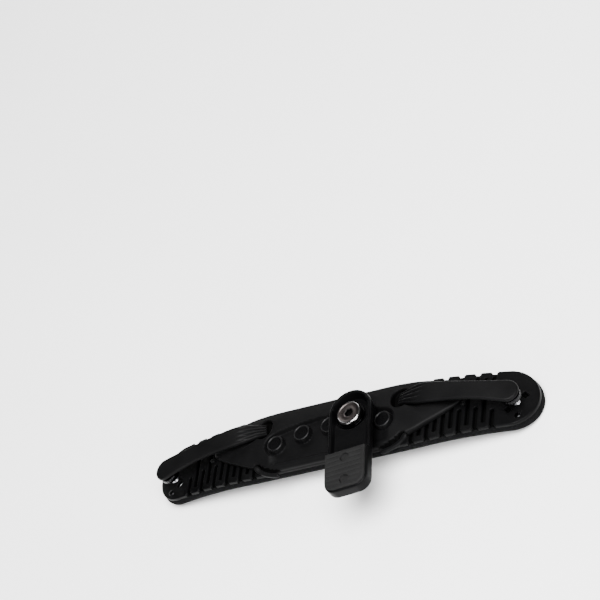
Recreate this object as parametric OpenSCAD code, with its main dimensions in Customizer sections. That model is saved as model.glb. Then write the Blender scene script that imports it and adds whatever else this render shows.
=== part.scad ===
// Violin shoulder rest: a padded, arched plate with two flexible wings, a domed
// carrier in the middle, a tension band over each wing, and a swivelling bracket
// that bolts to the back of the instrument.
// X runs along the rest, Y across it (towards the scroll), Z up to the instrument.
// The origin is on the floor under the middle of the overall box.

/* [Overall] */
// Middle of the rest to the tip of a wing
half_length = 104.5; // [103:0.5:107]
// Half the width at the carrier and at the wings' inner ends
half_width = 17; // [16.6:0.1:17.6]
// Radius of a wing's round end
end_r = 15; // [14.4:0.1:15.4]
// Radius of the arch that the wings follow
arch_r = 218; // [210:1:240]
// Where the flat middle ends and the arch begins
flat_x = 43; // [42:0.5:44]

/* [Plate and pads] */
// Plate thickness
plate_t = 2.2; // [2.2:0.1:2.6]
// Foam pad thickness
pad_t = 4.5; // [4.3:0.1:6]
// How much of the foam's tip is pressed flat where it stands
pad_flat = 0.9; // [0.6:0.1:1.2]
// Step of the plate's rim
rim_step = 0.5; // [0.3:0.1:0.7]

/* [Lattice] */
// Pitch of the slots
slot_pitch = 8; // [7.8:0.1:8.2]
// First edge slot
slot_x0 = 43; // [42.5:0.5:43.5]
// Slot width
slot_w = 1.7; // [1.4:0.1:2]
// Half width of the web left between the edge slots
web_half = 3.2; // [2.8:0.1:4]
// Edge left outside an inner slot
slot_margin = 2.6; // [2.2:0.1:3]

/* [Carrier] */
// Height of the carrier's spine over the plate
dome_h = 5; // [5:0.1:5.4]
// Radius of the dome across the carrier
dome_r = 50; // [48:1:56]
// Radius of the dome along the carrier's leaf
dome_long_r = 170; // [165:1:190]
// Depth left under the trough
trough_z = 2.2; // [2.1:0.1:2.4]
// Radius of the arc that the bosses stand on
boss_arc_r = 117; // [112:1:122]
// Angle from one boss to the next
boss_step = 7.3; // [7.2:0.05:7.4]
// Boss radius
boss_r = 4.3; // [4:0.1:4.5]

/* [Band and adjuster] */
// Band thickness
band_t = 2.4; // [2.2:0.1:2.6]
// Height of the band's crown over the plate
band_top = 8.3; // [8.1:0.1:8.6]
// Stud radius
stud_r = 2; // [1.9:0.05:2]
// Thumb nut radius
nut_r = 5; // [4.6:0.1:5.4]
// Thumb nut thickness
nut_t = 3; // [2.6:0.1:3.2]

/* [Bracket] */
// Turn of the bracket at rest
arm_turn = 5; // [0:0.5:8]
// Length of the bracket from its pivot
arm_len = 46; // [44:1:54]
// Half width of the bracket, and radius of its cup
arm_half = 11.2; // [11:0.1:12]
// Width of the bracket's raised rim
rim_w = 1.9; // [1.7:0.1:2]
// Height of the cup's rim over the plate
cup_top = 13.2; // [13:0.1:14]
// Radius of the clamp screw's head
head_r = 7; // [6.6:0.1:7.2]
// Radius of the holes for the instrument's screws
hole_r = 2.2; // [2:0.1:2.6]
// Distance between the two holes
hole_pitch = 12; // [11:0.5:14]

/* [Hidden] */
$fn = 0;
$fa = 1;
$fs = 0.4;
e = 0.01;
end_x = half_length - end_r;
taper = (half_width - end_r) / (end_x - 44.5);
pad_bot_r = arch_r - plate_t - pad_t;
tip_drop = arch_r - sqrt(pad_bot_r * pad_bot_r - pow(half_length - flat_x, 2));
base_z = tip_drop - pad_flat;
seam_x = 33.2;
hinge_x = 31;
hinge_z = -1.3;
bead_r = 1.5;
groove_r = 1.8;
bead_y = 12.7;
stud_x = end_x + 4.5;
stud_y = -3;
root_x = 38;
root_y = 7.2;
band_len = sqrt(pow(stud_x - root_x, 2) + pow(stud_y - root_y, 2));
band_a = atan2(stud_y - root_y, stud_x - root_x);
boss_y0 = 0.35;
boss_top = dome_h - 0.2;
insert_z = 1.8;
insert_l = boss_top - 0.2 - insert_z;
pivot = [boss_arc_r * sin(boss_step), boss_y0 - boss_arc_r * (1 - cos(boss_step))];
trough_x = 30.5;
pocket_r = 5.9;
trough_y = -14;
trough_arc_r = boss_arc_r + 6.2;
cup_off = [1.4, 0.3];
cup_floor = 8.4;
cup_bot = boss_top + 0.7;
hub_r = 10.2;
strap_t = 3.3;
strap_z = cup_top - strap_t;
tray_z = cup_top - 1.9;
foot_l = 22;
foot_t = 2.4;
corner_r = 6;
liner_t = 1.2;
y_low = -((arm_half - corner_r - cup_off[0]) * sin(arm_turn) + (arm_len - corner_r) * cos(arm_turn) + corner_r) + pivot[1];
y_mid = (half_width + y_low) / 2;
slot_n = 6;
band_drop = 5.6;
black = [0.06, 0.06, 0.065];
foam = [0.09, 0.09, 0.09];
steel = [0.82, 0.82, 0.84];
brass = [0.8, 0.65, 0.35];

// ---- helpers ----

module placed() { translate([0, -y_mid, base_z]) children(); }

// Point on a smooth curve through four points
function spline(a, b, c, d, t) =
    0.5 * (2 * b + (c - a) * t + (2 * a - 5 * b + 4 * c - d) * t * t + (3 * b - 3 * c + d - a) * t * t * t);
function smooth_line(p, n) =
    [for (i = [1:len(p) - 3]) for (k = [0:n - 1]) spline(p[i - 1], p[i], p[i + 1], p[i + 2], k / n)];

// Height of the plate's top at x
function plate_z(x) = x <= flat_x ? 0 : sqrt(arch_r * arch_r - pow(x - flat_x, 2)) - arch_r;
function half_w(x) = min(half_width, end_r + taper * (end_x - x));

// Everything between two offsets from the plate's top surface, from x = from_x outwards
module arch_layer(top, bottom, from_x) {
    difference() {
        rotate([90, 0, 0]) linear_extrude(60, center = true) union() {
            translate([from_x, -10]) square([flat_x - from_x + e, 10 + top]);
            intersection() {
                translate([flat_x, -arch_r]) circle(arch_r + top, $fn = 0);
                translate([flat_x, -60]) square([120, 60 + 10]);
            }
        }
        rotate([90, 0, 0]) linear_extrude(62, center = true) union() {
            translate([from_x - 1, -70]) square([flat_x - from_x + 1 + e, 70 + bottom]);
            intersection() {
                translate([flat_x, -arch_r]) circle(arch_r + bottom, $fn = 0);
                translate([flat_x, -70]) square([130, 90]);
            }
        }
    }
}

// Plan of a wing, drawn in by d on its long sides and its round end
module wing_plan(d, from_x) {
    intersection() {
        union() {
            polygon([[from_x, -half_w(from_x) + d], [44.5, -half_width + d], [end_x, -end_r + d],
                [end_x, end_r - d], [44.5, half_width - d], [from_x, half_w(from_x) - d]]);
            translate([end_x, 0]) circle(end_r - d);
        }
        translate([from_x, -30]) square([120, 60]);
    }
}

// Slots of the lattice, in plan
module lattice() {
    for (i = [0:slot_n - 1]) {
        x = slot_x0 + i * slot_pitch;
        w = i < slot_n - 1 ? web_half : web_half + 2.2;
        for (s = [-1, 1]) {
            translate([x - slot_w / 2, s > 0 ? w : -30]) square([slot_w, 30 - w]);
            translate([x, s * (half_w(x) - 0.6)]) rotate(45) square([2.4, 2.4], center = true);
        }
        if (i < slot_n - 1)
            translate([x + slot_pitch / 2 - slot_w / 2, -half_w(x) + slot_margin + 0.6])
                square([slot_w, 2 * (half_w(x) - slot_margin - 0.6)]);
    }
}

// ---- wing parts, right-hand side ----

module plate_body() {
    difference() {
        union() {
            intersection() {
                arch_layer(-rim_step, -plate_t, seam_x + 0.4);
                translate([0, 0, -40]) linear_extrude(60) wing_plan(0, seam_x + 0.4);
            }
            intersection() {
                arch_layer(0, -rim_step - e, seam_x + 0.4);
                translate([0, 0, -40]) linear_extrude(60) wing_plan(0.6, seam_x + 0.4);
            }
            // neck and bead of the hinge
            translate([hinge_x, -bead_y, hinge_z - 0.7]) cube([seam_x + 1 - hinge_x, 2 * bead_y, 1.4]);
            translate([hinge_x, bead_y, hinge_z]) rotate([90, 0, 0]) cylinder(h = 2 * bead_y, r = bead_r);
        }
        translate([0, 0, -40]) linear_extrude(60) lattice();
        // seat and hole for the stud
        translate([stud_x, stud_y, -30]) cylinder(h = 40, r = stud_r + 0.05);
        translate([stud_x, stud_y, -30]) cylinder(h = 30 + plate_z(stud_x) - 1, r = 4.1);
        // two windows beside the stud
        for (s = [-1, 1]) translate([stud_x, stud_y, -15]) rotate(45) translate([s * 5.2, 0, 0])
            cube([2.2, 3, 40], center = true);
        translate([end_x + 5.6, -10.4, -30]) cylinder(h = 40, r = 1.05);
        translate([end_x + 5.6, -10.4, plate_z(end_x + 5.6) - 0.55]) cylinder(h = 5, r = 1.7);
        translate([68.4, -0.9, -30]) cylinder(h = 40, r = 0.85);
    }
}

module pad_body() {
    difference() {
        intersection() {
            arch_layer(-plate_t - 0.02, -plate_t - pad_t, seam_x + 1.2);
            translate([0, 0, -base_z]) linear_extrude(60) wing_plan(0, seam_x + 1.2);
        }
        // room for the stud's foot and for the rivet
        translate([stud_x, stud_y, plate_z(stud_x) - 3.4]) cylinder(h = 10, r = 4.3);
        translate([end_x + 5.6, -10.4, plate_z(end_x + 5.6) - plate_t - 1.6]) cylinder(h = 10, r = 1.1);
    }
}

// Height of the band's top, by the distance along it
function band_z(s) = band_top - pow(root_x + s * 0.984 - 62, 2) / 300 - (s < 16.3 ? 2.4 * pow((16.3 - s) / 16.3, 2) : 0);

// Height of the nut's top, level under the whole of the band's round end
function nut_top() = band_z(band_len + band_drop) - band_t - 0.3;

module band_side(top, bottom, low) {
    n = 40;
    s0 = -1.4;
    s1 = band_len + 5.6;
    rotate([90, 0, 0]) linear_extrude(30, center = true)
        polygon(concat([for (i = [0:n]) let (s = s0 + (s1 - s0) * i / n) [s, band_z(s) + top]],
            [for (i = [n:-1:0]) let (s = s0 + (s1 - s0) * i / n) [s, max(band_z(s) - bottom, low)]]));
}

module band_plan(d) {
    r = 5.5 + d;
    side = smooth_line([[-6, 2.9], [-2.2, 3], [3, 3.5], [7.5, 4.6], [13, 5.3], [25, 5], [39, 4.7], [48, 4.95], [band_len - 0.5, 5.45], [62, 5.5]], 4);
    polygon(concat([for (p = side) [p[0], p[1] + d]],
        [for (a = [88:-4:-88]) [band_len + r * cos(a), r * sin(a)]],
        [for (i = [len(side) - 1:-1:0]) [side[i][0], -side[i][1] - d]]));
}

module band_frame() { translate([root_x, root_y, 0]) rotate(band_a) children(); }

module band_body() {
    difference() {
        union() {
            band_frame() intersection() {
                band_side(0, band_t, 2.1);
                translate([0, 0, -5]) linear_extrude(30) band_plan(0);
            }
            // boss that stands on the nut
            translate([stud_x, stud_y, nut_top() + 0.1]) cylinder(h = band_z(band_len) - 1.2 - nut_top() - 0.1, r = 3.3);
        }
        // blind seat for the tip of the stud
        translate([stud_x, stud_y, -5]) cylinder(h = 5 + band_z(band_len) - 1, r = stud_r + 0.3);
    }
}

module stud_body() {
    top = band_z(band_len) - 1.2;
    foot = plate_z(stud_x) - plate_t - 0.9;
    translate([stud_x, stud_y, foot]) cylinder(h = top - foot, r = stud_r);
    translate([stud_x, stud_y, foot]) cylinder(h = 1.8, r = 4);
}

module nut_body() {
    top = nut_top();
    difference() {
        translate([stud_x, stud_y, top - nut_t]) cylinder(h = nut_t, r = nut_r);
        translate([stud_x, stud_y, top - nut_t - 1]) cylinder(h = nut_t + 2, r = stud_r + 0.06);
        for (a = [0:20:340]) translate([stud_x, stud_y, top - nut_t - 1]) rotate(a)
            translate([nut_r + 0.35, 0, 0]) cylinder(h = nut_t + 2, r = 0.6);
    }
}

module rivet_body() {
    x = end_x + 5.6;
    z = plate_z(x);
    translate([x, -10.4, z - plate_t - 1.4]) cylinder(h = plate_t + 1.5, r = 1);
    translate([x, -10.4, z - 0.5]) intersection() {
        cylinder(h = 1.1, r = 1.6);
        translate([0, 0, -1.2]) sphere(r = 2.3);
    }
}

module guide_pin_body() {
    z = plate_z(68.4);
    translate([68.4, -0.9, z - plate_t + 0.3]) cylinder(h = plate_t - 0.1, r = 0.8);
    translate([68.4, -0.9, z + 0.1]) intersection() {
        cylinder(h = 1.2, r = 1.2);
        sphere(r = 1.4);
    }
}

// ---- carrier ----

module leaf_plan() {
    low = smooth_line([[20, -17], [27.5, -half_width], [32.6, -16.4], [37.5, -14.8], [41.8, -12.9], [46.2, -11.4], [51, -9.2],
        [56.3, -6.7], [61.4, -3.9], [65.3, -1.3], [67.6, 0.8], [68, 3], [66.5, 6.8], [63.9, 10], [60.2, 12.8],
        [56.8, 14.4], [52.9, 15.5], [47.2, 16.4], [41, 16.85], [34, half_width], [20, half_width], [0, half_width]], 3);
    polygon(concat(low, [for (i = [len(low) - 1:-1:0]) [-low[i][0], low[i][1]]]));
}

module dome() {
    intersection() {
        union() {
            for (s = [0, 1]) mirror([s, 0, 0]) translate([27, 0, dome_h - dome_long_r]) rotate([90, 0, 0])
                rotate([0, 0, 60]) rotate_extrude(angle = 30) translate([dome_long_r - dome_r, 0]) intersection() {
                    circle(dome_r);
                    translate([10, -30]) square([dome_r, 60]);
                }
            translate([-27, 0, dome_h - dome_r]) rotate([0, 90, 0]) cylinder(h = 54, r = dome_r);
        }
        translate([0, 0, -6]) linear_extrude(20) leaf_plan();
    }
}

module trough_plan() {
    intersection() {
        translate([0, boss_y0 - boss_arc_r]) circle(trough_arc_r);
        translate([-trough_x, trough_y]) square([2 * trough_x, 40]);
    }
    at_bosses([-2, 2]) circle(pocket_r);
}

module at_bosses(list) {
    for (i = list) translate([boss_arc_r * sin(i * boss_step), boss_y0 - boss_arc_r * (1 - cos(i * boss_step)), 0]) children();
}

module lip_sector(r0, r1, a0, a1, z0, z1) {
    translate([28.4, 6.9, z0]) rotate(a0) rotate_extrude(angle = a1 - a0)
        translate([r0, 0]) square([r1 - r0, z1 - z0]);
}

// Everything under the plate's top, with a gap over the wing
module under_leaf() {
    rotate([90, 0, 0]) linear_extrude(60, center = true) union() {
        translate([-1, -20]) square([seam_x + 1, 20]);
        translate([seam_x - e, -20]) square([flat_x - seam_x + 2 * e, 20.3]);
        intersection() {
            translate([flat_x, -arch_r]) circle(arch_r + 0.3, $fn = 0);
            translate([flat_x, -20]) square([60, 30]);
        }
    }
}

module shell_cuts() {
    // slot behind the lip
    lip_sector(20.2, 21.9, -84, -61, 1.2, 8);
    // room for the hinge housing
    translate([27.9, -13.8, -1]) cube([5.6, 27.6, 2.2]);
    // socket for the band's root, open towards the wing
    translate([37.6, root_y, 1.1]) union() {
        translate([0, 1, 0]) cylinder(h = 10, r = 4.6);
        translate([0, -1, 0]) cylinder(h = 10, r = 4.6);
        translate([-4.6, -1, 0]) cube([9.2, 2, 10]);
    }
    band_frame() intersection() {
        band_side(6, band_t + 1.7, 1.1);
        linear_extrude(30) intersection() {
            band_plan(0.8);
            translate([0, -8]) square([16, 16]);
        }
    }
}

// ---- nodes ----

module carrier_shell() {
    placed() color(black) difference() {
        union() {
            difference() {
                union() {
                    difference() {
                        dome();
                        for (s = [0, 1]) mirror([s, 0, 0]) under_leaf();
                    }
                    // raised lips beside the flank slots
                    for (s = [0, 1]) mirror([s, 0, 0]) lip_sector(21.9, 23.1, -87, -58, 0.9, 3.1);
                }
                for (s = [0, 1]) mirror([s, 0, 0]) shell_cuts();
                translate([0, 0, trough_z]) linear_extrude(10) trough_plan();
            }
            at_bosses([-2:2]) translate([0, 0, trough_z - 0.4]) cylinder(h = boss_top - trough_z + 0.4, r = boss_r);
        }
        at_bosses([-2:2]) translate([0, 0, insert_z - 0.1]) cylinder(h = 10, r = 2.55);
        for (x = [-20, 20]) for (y = [-11.5, 11.5]) translate([x, y, -1]) cylinder(h = 2.6, r = 1.15);
    }
}

module carrier_base() {
    placed() color(black) difference() {
        union() {
            translate([-seam_x, -half_width, -plate_t]) cube([2 * seam_x, 2 * half_width, plate_t - rim_step]);
            translate([-seam_x, -half_width + 0.6, -rim_step - e]) cube([2 * seam_x, 2 * half_width - 1.2, rim_step + e]);
            for (s = [-1, 1]) translate([s > 0 ? 28.1 : -seam_x, -13.6, hinge_z - 2.4]) cube([seam_x - 28.1, 27.2, 4.8]);
        }
        for (s = [0, 1]) mirror([s, 0, 0]) {
            translate([hinge_x, 13, hinge_z]) rotate([90, 0, 0]) cylinder(h = 26, r = groove_r);
            translate([0, 13, 0]) rotate([90, 0, 0]) linear_extrude(26)
                polygon([[hinge_x, hinge_z + 1.05], [seam_x + 1, hinge_z + 1.05], [seam_x + 1, hinge_z - 1.5], [hinge_x, hinge_z - 1.1]]);
        }
        for (x = [-20, 20]) for (y = [-11.5, 11.5]) translate([x, y, 0]) {
            translate([0, 0, -5]) cylinder(h = 10, r = 1.15);
            translate([0, 0, -5]) cylinder(h = 5 - plate_t + 1.25, r = 2.15);
        }
    }
}

module thread_inserts() {
    placed() color(brass) at_bosses([-2:2]) difference() {
        translate([0, 0, insert_z]) cylinder(h = insert_l, r = 2.5);
        translate([0, 0, insert_z - 1]) cylinder(h = insert_l + 2, r = 2);
    }
}

module boss_plugs() {
    placed() color(black) at_bosses([-2, -1, 0, 2]) difference() {
        union() {
            translate([0, 0, boss_top]) cylinder(h = 0.3, r = 3.4);
            translate([0, 0, boss_top - 1.6]) cylinder(h = 1.7, r = 1.9);
        }
        translate([0, 0, boss_top + 0.1]) cylinder(h = 2, r = 2.3);
    }
}

module pivot_bush() {
    placed() color(steel) translate([pivot[0], pivot[1], boss_top]) difference() {
        union() {
            cylinder(h = 0.4, r = boss_r);
            cylinder(h = cup_floor - 0.1 - boss_top, r = 3.4);
        }
        translate([0, 0, -1]) cylinder(h = 10, r = 2.3);
    }
}

module shell_screws() {
    placed() color(steel) for (x = [-20, 20]) for (y = [-11.5, 11.5]) translate([x, y, -plate_t]) difference() {
        union() {
            cylinder(h = 1.2, r = 2.1);
            cylinder(h = 3.6, r = 1.1);
        }
        translate([0, 0, -1]) cylinder(h = 1.7, r = 0.9, $fn = 6);
    }
}

module centre_pad() {
    placed() color(foam) difference() {
        translate([-seam_x + 0.4, -half_width, -plate_t - pad_t]) cube([2 * seam_x - 0.8, 2 * half_width, pad_t]);
        for (s = [0, 1]) mirror([s, 0, 0]) translate([27.9, -13.8, hinge_z - 2.6]) cube([10, 27.6, 10]);
    }
}

module wing_plate_right() { placed() color(black) plate_body(); }
module wing_pad_right() { placed() color(foam) pad_body(); }
module tension_band_right() { placed() color(black) band_body(); }
module adjuster_stud_right() { placed() color(steel) stud_body(); }
module adjuster_nut_right() { placed() color(steel) nut_body(); }
module end_rivet_right() { placed() color(black) rivet_body(); }
module guide_pin_right() { placed() color(black) guide_pin_body(); }

module wing_plate_left() { placed() color(black) mirror([1, 0, 0]) plate_body(); }
module wing_pad_left() { placed() color(foam) mirror([1, 0, 0]) pad_body(); }
module tension_band_left() { placed() color(black) mirror([1, 0, 0]) band_body(); }
module adjuster_stud_left() { placed() color(steel) mirror([1, 0, 0]) stud_body(); }
module adjuster_nut_left() { placed() color(steel) mirror([1, 0, 0]) nut_body(); }
module end_rivet_left() { placed() color(black) mirror([1, 0, 0]) rivet_body(); }
module guide_pin_left() { placed() color(black) mirror([1, 0, 0]) guide_pin_body(); }

// Strap plan with two round corners at its far end
module strap_plan(d, from_y) {
    w = arm_half - d;
    r = corner_r - d;
    translate([cup_off[0], 0]) {
        translate([-w, -arm_len + corner_r]) square([2 * w, arm_len - corner_r + from_y]);
        translate([-w + r, -arm_len + d]) square([2 * w - 2 * r, corner_r]);
        for (s = [-1, 1]) translate([s * (w - r), -arm_len + corner_r]) circle(r);
    }
}

module arm_frame() { placed() translate([pivot[0], pivot[1], 0]) rotate(arm_turn) children(); }

module arm_holes(r) {
    for (s = [-1, 1]) translate([cup_off[0], -arm_len + foot_l / 2 + s * hole_pitch / 2, 0]) cylinder(h = 40, r = r);
}

module bracket_arm() {
    arm_frame() color(black) difference() {
        union() {
            translate([cup_off[0], cup_off[1], cup_bot]) cylinder(h = strap_z - cup_bot + e, r = hub_r);
            translate([0, 0, strap_z]) linear_extrude(strap_t) union() {
                strap_plan(0, cup_off[1]);
                translate(cup_off) circle(arm_half);
            }
            translate([0, 0, strap_z + strap_t - e]) linear_extrude(foot_t + e) intersection() {
                strap_plan(0, 0);
                translate([-20, -arm_len - 1]) square([40, foot_l + 1]);
            }
            // stiffening ribs under the strap
            for (s = [-1, 1]) translate([cup_off[0] + s * (arm_half - 2.5) - 1, -arm_len + 8, strap_z - 1.8]) cube([2, arm_len - 12, 1.8 + e]);
        }
        // bowl of the cup, and the tray that runs from it to the foot
        translate([cup_off[0], cup_off[1], cup_floor]) cylinder(h = 20, r = arm_half - rim_w);
        translate([cup_off[0] - arm_half + rim_w, -arm_len + foot_l + 1.4, tray_z]) cube([2 * (arm_half - rim_w), arm_len - foot_l - 1.4 + cup_off[1], 20]);
        translate([0, 0, 0]) cylinder(h = 20, r = 3.48);
        arm_holes(hole_r);
    }
}

module arm_liner() {
    arm_frame() color(foam) difference() {
        translate([0, 0, strap_z + strap_t + foot_t]) linear_extrude(liner_t) intersection() {
            strap_plan(0.8, 0);
            translate([-20, -arm_len - 1]) square([40, foot_l + 0.2]);
        }
        arm_holes(hole_r);
    }
}

module clamp_washer() {
    placed() color(steel) translate([pivot[0], pivot[1], cup_floor + 0.3]) difference() {
        cylinder(h = 0.7, r = 7.4);
        translate([0, 0, -1]) cylinder(h = 3, r = 2.3);
    }
}

module clamp_screw() {
    placed() color(steel) translate([pivot[0], pivot[1], cup_floor + 1.1]) difference() {
        union() {
            cylinder(h = 1.9, r = head_r);
            translate([0, 0, 1.9 - e]) cylinder(h = 0.6, r1 = head_r, r2 = head_r - 0.6);
            translate([0, 0, -cup_floor - 1.1 + insert_z + 0.2]) cylinder(h = cup_floor + 1.1 - insert_z, r = 1.95);
        }
        translate([0, 0, 0.7]) cylinder(h = 5, r = 2.1, $fn = 6);
    }
}

carrier_shell();
carrier_base();
thread_inserts();
boss_plugs();
pivot_bush();
shell_screws();
centre_pad();
wing_plate_right();
wing_pad_right();
tension_band_right();
adjuster_stud_right();
adjuster_nut_right();
end_rivet_right();
guide_pin_right();
wing_plate_left();
wing_pad_left();
tension_band_left();
adjuster_stud_left();
adjuster_nut_left();
end_rivet_left();
guide_pin_left();
bracket_arm();
arm_liner();
clamp_washer();
clamp_screw();
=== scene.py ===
import math

import bmesh
import bpy
import numpy as np
from mathutils import Matrix, Vector


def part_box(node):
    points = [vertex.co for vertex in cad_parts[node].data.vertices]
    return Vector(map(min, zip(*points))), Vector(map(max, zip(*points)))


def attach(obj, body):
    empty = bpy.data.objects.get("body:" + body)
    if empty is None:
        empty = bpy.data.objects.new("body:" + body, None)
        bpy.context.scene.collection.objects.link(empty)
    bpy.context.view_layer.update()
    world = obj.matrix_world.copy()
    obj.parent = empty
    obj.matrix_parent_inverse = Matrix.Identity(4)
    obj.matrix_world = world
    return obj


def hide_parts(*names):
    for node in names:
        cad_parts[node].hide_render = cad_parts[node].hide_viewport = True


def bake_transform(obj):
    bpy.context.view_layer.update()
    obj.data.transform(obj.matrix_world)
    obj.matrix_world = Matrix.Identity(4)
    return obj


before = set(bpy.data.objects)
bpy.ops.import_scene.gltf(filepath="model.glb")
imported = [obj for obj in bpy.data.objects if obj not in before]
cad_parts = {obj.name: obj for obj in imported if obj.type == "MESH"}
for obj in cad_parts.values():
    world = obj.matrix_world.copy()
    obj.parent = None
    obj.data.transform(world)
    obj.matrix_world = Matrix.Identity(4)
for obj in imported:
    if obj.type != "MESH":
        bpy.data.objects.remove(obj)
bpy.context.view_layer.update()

# ---------------------------------------------------------------- sizes (mm, plate top at z = 0, pivot row at y = 0)
HALF_LENGTH, HALF_WIDTH, END_R, ARCH_R, FLAT_X = 104.5, 17.0, 15.0, 218.0, 43.0
PLATE_T, PAD_T, PAD_FLAT, RIM = 2.2, 4.5, 0.9, 0.5
SLOT_PITCH, SLOT_X0, SLOT_W, WEB, SLOT_MARGIN = 8.0, 43.0, 1.7, 3.2, 2.6
DOME_H, DOME_R, DOME_LONG = 5.0, 50.0, 170.0
TROUGH_Z, TROUGH_X, TROUGH_Y, POCKET_R = 2.2, 30.5, -14.0, 5.9
BOSS_ARC, BOSS_STEP, BOSS_R = 117.0, math.radians(7.3), 4.3
BAND_T, BAND_TOP = 2.4, 8.3
STUD_R, NUT_R, NUT_T = 2.0, 5.0, 3.0
ARM_TURN, ARM_LEN, ARM_HALF, RIM_W, CUP_TOP, HUB_R = math.radians(5), 46.0, 11.2, 1.9, 13.2, 10.2
CUP_OFF = (1.4, 0.3)
END_X = HALF_LENGTH - END_R
TAPER = (HALF_WIDTH - END_R) / (END_X - 44.5)
STUD = (END_X + 4.5, -3.0)
ROOT = (38.0, 7.2)
BAND_L = math.hypot(STUD[0] - ROOT[0], STUD[1] - ROOT[1])
BAND_A = math.atan2(STUD[1] - ROOT[1], STUD[0] - ROOT[0])
BOSS_Y0 = 0.35
BOSS_TOP = DOME_H - 0.2
PIVOT = (BOSS_ARC * math.sin(BOSS_STEP), BOSS_Y0 - BOSS_ARC * (1 - math.cos(BOSS_STEP)))
PAD_BOT = ARCH_R - PLATE_T - PAD_T
BASE_Z = ARCH_R - math.sqrt(PAD_BOT**2 - (HALF_LENGTH - FLAT_X) ** 2) - PAD_FLAT
HOLE_R, HOLE_PITCH, FOOT_L, CORNER = 2.2, 12.0, 22.0, 6.0
STRAP_T, FOOT_T, LINER_T, CUP_FLOOR = 3.3, 2.4, 1.2, 8.4
STRAP_Z = CUP_TOP - STRAP_T
TRAY_Z = CUP_TOP - 1.9
CUP_BOT = BOSS_TOP + 0.7
# where the row's y = 0 lies
_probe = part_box("adjuster_stud_right")
Y_OFF = (_probe[0].y + _probe[1].y) / 2 * 1000 - STUD[1]


def row(p):
    """Points in mm of this script's frame, in metres of the row frame."""
    p = np.asarray(p, float).reshape(-1, 3)
    return np.stack([p[:, 0], p[:, 1] + Y_OFF, p[:, 2] + BASE_Z], 1) / 1000.0


# ---------------------------------------------------------------- shapes
def spline(points, n):
    p = [np.array(q, float) for q in points]
    out = []
    for i in range(1, len(p) - 2):
        a, b, c, d = p[i - 1], p[i], p[i + 1], p[i + 2]
        for k in range(n):
            t = k / n
            out.append(0.5 * (2 * b + (c - a) * t + (2 * a - 5 * b + 4 * c - d) * t * t + (3 * b - 3 * c + d - a) * t**3))
    out.append(p[-2])
    return np.array(out)


def smooth(t):
    t = np.clip(t, 0, 1)
    return t * t * (3 - 2 * t)


def plate_z(x, depth=0.0):
    """Height of the surface `depth` under the plate's top, at |x|."""
    x = np.abs(np.asarray(x, float))
    d = np.maximum(x - FLAT_X, 0)
    return np.sqrt(np.maximum((ARCH_R - depth) ** 2 - d * d, 1)) - ARCH_R


def half_w(x):
    x = np.abs(np.asarray(x, float))
    straight = np.minimum(HALF_WIDTH, END_R + TAPER * (END_X - x))
    end = np.sqrt(np.maximum(END_R**2 - np.maximum(x - END_X, 0) ** 2, 0))
    return np.where(x > END_X, end, straight)


def distance_to(line, pts):
    """Distance of points to an open or closed polyline."""
    best = np.full(len(pts), 1e9)
    for a, b in zip(line[:-1], line[1:]):
        d = b - a
        q = max(float(d @ d), 1e-12)
        t = np.clip(((pts - a) @ d) / q, 0, 1)
        best = np.minimum(best, np.linalg.norm(pts - a - t[:, None] * d, axis=1))
    return best


def new_mesh(name, pts, faces, mat, sharp=40.0, origin=None, flip=False):
    """A closed mesh from points in mm. `origin` (mm) puts the object's own origin there."""
    co = row(pts)
    me = bpy.data.meshes.new(name)
    off = row([origin])[0] if origin is not None else np.zeros(3)
    me.from_pydata((co - off).tolist(), [], [list(map(int, f)) for f in faces])
    bm = bmesh.new()
    bm.from_mesh(me)
    bmesh.ops.remove_doubles(bm, verts=bm.verts, dist=2e-6)
    bmesh.ops.dissolve_degenerate(bm, edges=bm.edges, dist=1e-6)
    bmesh.ops.recalc_face_normals(bm, faces=bm.faces)
    bm.to_mesh(me)
    bm.free()
    me.polygons.foreach_set("use_smooth", [True] * len(me.polygons))
    me.set_sharp_from_angle(angle=math.radians(sharp))
    ob = bpy.data.objects.new(name, me)
    ob.location = off
    bpy.context.scene.collection.objects.link(ob)
    me.materials.append(mat)
    return ob


def edge_columns(w, near, n):
    """Column positions from 0 to w: close together by both edges."""
    near = np.array(near, float)
    scale = min(1.0, w * 0.5 / (near[-1] * 1.35)) if w > 0 else 0.0
    a = near * scale
    mid = np.linspace(a[-1], w - a[-1], n + 2)[1:-1]
    return np.concatenate([a, mid, (w - a)[::-1]])


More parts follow.
